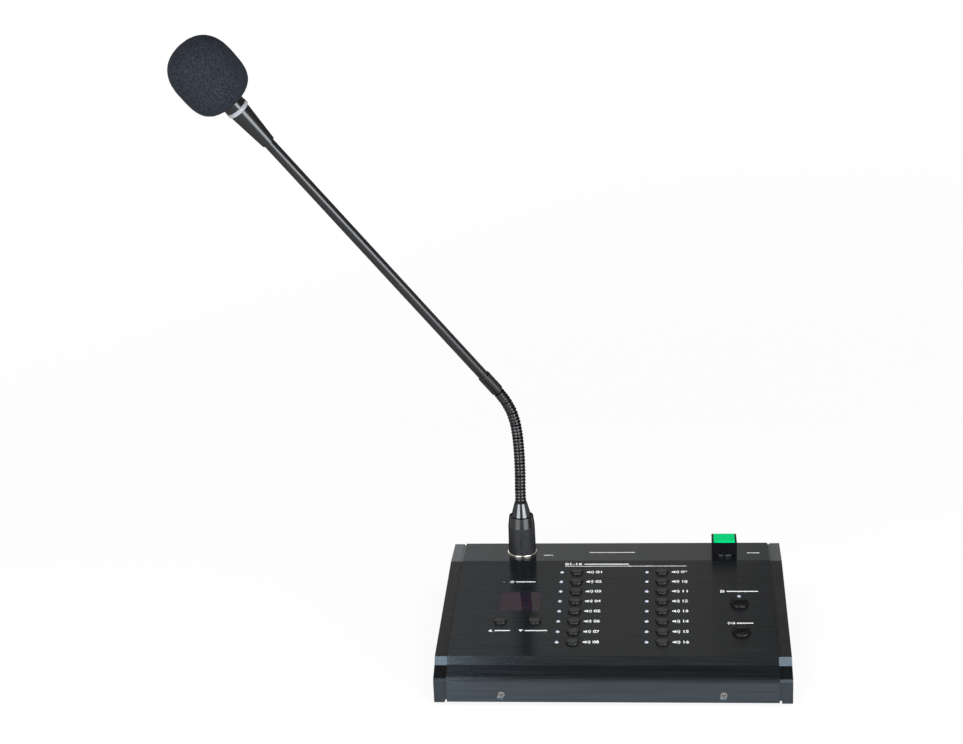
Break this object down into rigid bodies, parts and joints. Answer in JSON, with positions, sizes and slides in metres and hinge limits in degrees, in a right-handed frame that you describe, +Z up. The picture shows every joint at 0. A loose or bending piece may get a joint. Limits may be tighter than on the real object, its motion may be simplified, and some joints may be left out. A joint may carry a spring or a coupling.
{
  "type": "paging microphone",
  "caption": "Wedge-shaped desk console with numbered zone keys, a green talk key and a gooseneck microphone with a foam windscreen.",
  "frame": {"origin": "on the table, under the middle of the console, at the middle foot", "axes": "+X to the user's right, +Y to the rear, +Z up"},
  "size_m": [0.3861, 0.1618, 0.4385],
  "materials": {
    "black_aluminium": "brushed black anodised",
    "cap_aluminium": "brushed dark anodised",
    "black_steel": "matt powder coat",
    "foot_rubber": "matt",
    "screw_steel": "bright",
    "black_screw": "black oxide",
    "board": "green laminate",
    "switch_plastic": "moulded",
    "led_clear": "frosted clear",
    "window_tint": "dark red tint",
    "key_plastic": "satin moulded",
    "talk_black": "semi gloss",
    "talk_green": "translucent green",
    "bright_ring": "polished",
    "plug_black": "satin black",
    "gloss_black": "gloss black",
    "neck_black": "satin black",
    "ring_clear": "clear",
    "capsule_black": "gloss black",
    "foam": "open-cell foam"
  },
  "bodies": {
    "console": {"top_shell": "black_aluminium", "left_end_cap": "cap_aluminium", "right_end_cap": "cap_aluminium", "chassis": "black_steel", "rubber_feet": "foot_rubber", "case_screws": "screw_steel", "cap_screws": "black_screw", "main_board": "board", "board_posts": "screw_steel", "board_screws": "screw_steel", "key_switches": "switch_plastic", "panel_leds": "led_clear", "digit_display": "switch_plastic", "display_window": "window_tint", "talk_collar": "talk_black", "talk_bezel": "talk_black", "talk_switch": "switch_plastic", "link_sockets": "switch_plastic", "power_jack": "switch_plastic", "socket_ring": "bright_ring", "socket_body": "switch_plastic", "plug_barrel": "plug_black", "plug_collar": "gloss_black", "neck_ferrule": "gloss_black", "neck_link_1": "neck_black"},
    "zone_key_01_body": {"zone_key_01": "key_plastic"},
    "zone_key_02_body": {"zone_key_02": "key_plastic"},
    "zone_key_03_body": {"zone_key_03": "key_plastic"},
    "zone_key_04_body": {"zone_key_04": "key_plastic"},
    "zone_key_05_body": {"zone_key_05": "key_plastic"},
    "zone_key_06_body": {"zone_key_06": "key_plastic"},
    "zone_key_07_body": {"zone_key_07": "key_plastic"},
    "zone_key_08_body": {"zone_key_08": "key_plastic"},
    "zone_key_09_body": {"zone_key_09": "key_plastic"},
    "zone_key_10_body": {"zone_key_10": "key_plastic"},
    "zone_key_11_body": {"zone_key_11": "key_plastic"},
    "zone_key_12_body": {"zone_key_12": "key_plastic"},
    "zone_key_13_body": {"zone_key_13": "key_plastic"},
    "zone_key_14_body": {"zone_key_14": "key_plastic"},
    "zone_key_15_body": {"zone_key_15": "key_plastic"},
    "zone_key_16_body": {"zone_key_16": "key_plastic"},
    "page_up_key_body": {"page_up_key": "key_plastic"},
    "page_down_key_body": {"page_down_key": "key_plastic"},
    "group_key_body": {"group_key": "key_plastic"},
    "all_call_key_body": {"all_call_key": "key_plastic"},
    "talk_key": {"talk_lens": "talk_green"},
    "neck_2": {"neck_link_2": "neck_black"},
    "neck_3": {"neck_link_3": "neck_black"},
    "neck_4": {"neck_link_4": "neck_black"},
    "neck_5": {"neck_link_5": "neck_black"},
    "neck_6": {"neck_link_6": "neck_black"},
    "neck_7": {"neck_link_7": "neck_black"},
    "neck_8": {"neck_link_8": "neck_black"},
    "neck_9": {"neck_link_9": "neck_black"},
    "microphone_head": {"neck_sleeve": "gloss_black", "neck_tube": "gloss_black", "head_collar": "gloss_black", "light_ring": "ring_clear", "capsule": "capsule_black", "windscreen": "foam"}
  },
  "joints": [
    {"name": "zone_key_01_press", "type": "slide", "parent": "console", "child": "zone_key_01_body", "axis": [0, 0.1633, -0.9866], "range_m": [0, 0.0008], "stiffness_N_per_m": 1800},
    {"name": "zone_key_02_press", "type": "slide", "parent": "console", "child": "zone_key_02_body", "axis": [0, 0.1633, -0.9866], "range_m": [0, 0.0008], "stiffness_N_per_m": 1800},
    {"name": "zone_key_03_press", "type": "slide", "parent": "console", "child": "zone_key_03_body", "axis": [0, 0.1633, -0.9866], "range_m": [0, 0.0008], "stiffness_N_per_m": 1800},
    {"name": "zone_key_04_press", "type": "slide", "parent": "console", "child": "zone_key_04_body", "axis": [0, 0.1633, -0.9866], "range_m": [0, 0.0008], "stiffness_N_per_m": 1800},
    {"name": "zone_key_05_press", "type": "slide", "parent": "console", "child": "zone_key_05_body", "axis": [0, 0.1633, -0.9866], "range_m": [0, 0.0008], "stiffness_N_per_m": 1800},
    {"name": "zone_key_06_press", "type": "slide", "parent": "console", "child": "zone_key_06_body", "axis": [0, 0.1633, -0.9866], "range_m": [0, 0.0008], "stiffness_N_per_m": 1800},
    {"name": "zone_key_07_press", "type": "slide", "parent": "console", "child": "zone_key_07_body", "axis": [0, 0.1633, -0.9866], "range_m": [0, 0.0008], "stiffness_N_per_m": 1800},
    {"name": "zone_key_08_press", "type": "slide", "parent": "console", "child": "zone_key_08_body", "axis": [0, 0.1633, -0.9866], "range_m": [0, 0.0008], "stiffness_N_per_m": 1800},
    {"name": "zone_key_09_press", "type": "slide", "parent": "console", "child": "zone_key_09_body", "axis": [0, 0.1633, -0.9866], "range_m": [0, 0.0008], "stiffness_N_per_m": 1800},
    {"name": "zone_key_10_press", "type": "slide", "parent": "console", "child": "zone_key_10_body", "axis": [0, 0.1633, -0.9866], "range_m": [0, 0.0008], "stiffness_N_per_m": 1800},
    {"name": "zone_key_11_press", "type": "slide", "parent": "console", "child": "zone_key_11_body", "axis": [0, 0.1633, -0.9866], "range_m": [0, 0.0008], "stiffness_N_per_m": 1800},
    {"name": "zone_key_12_press", "type": "slide", "parent": "console", "child": "zone_key_12_body", "axis": [0, 0.1633, -0.9866], "range_m": [0, 0.0008], "stiffness_N_per_m": 1800},
    {"name": "zone_key_13_press", "type": "slide", "parent": "console", "child": "zone_key_13_body", "axis": [0, 0.1633, -0.9866], "range_m": [0, 0.0008], "stiffness_N_per_m": 1800},
    {"name": "zone_key_14_press", "type": "slide", "parent": "console", "child": "zone_key_14_body", "axis": [0, 0.1633, -0.9866], "range_m": [0, 0.0008], "stiffness_N_per_m": 1800},
    {"name": "zone_key_15_press", "type": "slide", "parent": "console", "child": "zone_key_15_body", "axis": [0, 0.1633, -0.9866], "range_m": [0, 0.0008], "stiffness_N_per_m": 1800},
    {"name": "zone_key_16_press", "type": "slide", "parent": "console", "child": "zone_key_16_body", "axis": [0, 0.1633, -0.9866], "range_m": [0, 0.0008], "stiffness_N_per_m": 1800},
    {"name": "page_up_key_press", "type": "slide", "parent": "console", "child": "page_up_key_body", "axis": [0, 0.1633, -0.9866], "range_m": [0, 0.0008], "stiffness_N_per_m": 1800},
    {"name": "page_down_key_press", "type": "slide", "parent": "console", "child": "page_down_key_body", "axis": [0, 0.1633, -0.9866], "range_m": [0, 0.0008], "stiffness_N_per_m": 1800},
    {"name": "group_key_press", "type": "slide", "parent": "console", "child": "group_key_body", "axis": [0, 0.1633, -0.9866], "range_m": [0, 0.0008], "stiffness_N_per_m": 1800},
    {"name": "all_call_key_press", "type": "slide", "parent": "console", "child": "all_call_key_body", "axis": [0, 0.1633, -0.9866], "range_m": [0, 0.0008], "stiffness_N_per_m": 1800},
    {"name": "talk_press", "type": "slide", "parent": "console", "child": "talk_key", "axis": [0, 0, -1], "range_m": [0, 0.0022], "stiffness_N_per_m": 1200},
    {"name": "neck_swing_1", "type": "hinge", "parent": "console", "child": "neck_2", "pos_m": [-0.0668, 0.0643, 0.09817], "axis": [-0.8659, -0.4999, 0.0175], "range_deg": [-9, 9]},
    {"name": "neck_bend_1", "type": "hinge", "parent": "neck_2", "child": "neck_3", "pos_m": [-0.06651, 0.06447, 0.10789], "axis": [0.5, -0.866, 0], "range_deg": [-14, 7]},
    {"name": "neck_swing_2", "type": "hinge", "parent": "neck_3", "child": "neck_4", "pos_m": [-0.06648, 0.06448, 0.11761], "axis": [-0.8659, -0.5, -0.014], "range_deg": [-9, 9]},
    {"name": "neck_bend_2", "type": "hinge", "parent": "neck_4", "child": "neck_5", "pos_m": [-0.06674, 0.06433, 0.12732], "axis": [0.5, -0.866, 0], "range_deg": [-14, 7]},
    {"name": "neck_swing_3", "type": "hinge", "parent": "neck_5", "child": "neck_6", "pos_m": [-0.06727, 0.06402, 0.13702], "axis": [-0.8619, -0.4976, -0.0976], "range_deg": [-9, 9]},
    {"name": "neck_bend_3", "type": "hinge", "parent": "neck_6", "child": "neck_7", "pos_m": [-0.06838, 0.06338, 0.14666], "axis": [0.5, -0.866, 0], "range_deg": [-14, 7]},
    {"name": "neck_swing_4", "type": "hinge", "parent": "neck_7", "child": "neck_8", "pos_m": [-0.07068, 0.06206, 0.15601], "axis": [-0.8088, -0.4669, -0.3576], "range_deg": [-9, 9]},
    {"name": "neck_bend_4", "type": "hinge", "parent": "neck_8", "child": "neck_9", "pos_m": [-0.07438, 0.05992, 0.16474], "axis": [0.5, -0.866, 0], "range_deg": [-14, 7]},
    {"name": "neck_swing_5", "type": "hinge", "parent": "neck_9", "child": "microphone_head", "pos_m": [-0.07916, 0.05716, 0.17274], "axis": [-0.6957, -0.4017, -0.5955], "range_deg": [-9, 9]}
  ],
  "couplings": [
    {"joint": "neck_swing_2", "follows": "neck_swing_1", "ratio": 1},
    {"joint": "neck_bend_2", "follows": "neck_bend_1", "ratio": 1},
    {"joint": "neck_swing_3", "follows": "neck_swing_1", "ratio": 1},
    {"joint": "neck_bend_3", "follows": "neck_bend_1", "ratio": 1},
    {"joint": "neck_swing_4", "follows": "neck_swing_1", "ratio": 1},
    {"joint": "neck_bend_4", "follows": "neck_bend_1", "ratio": 1},
    {"joint": "neck_swing_5", "follows": "neck_swing_1", "ratio": 1}
  ]
}
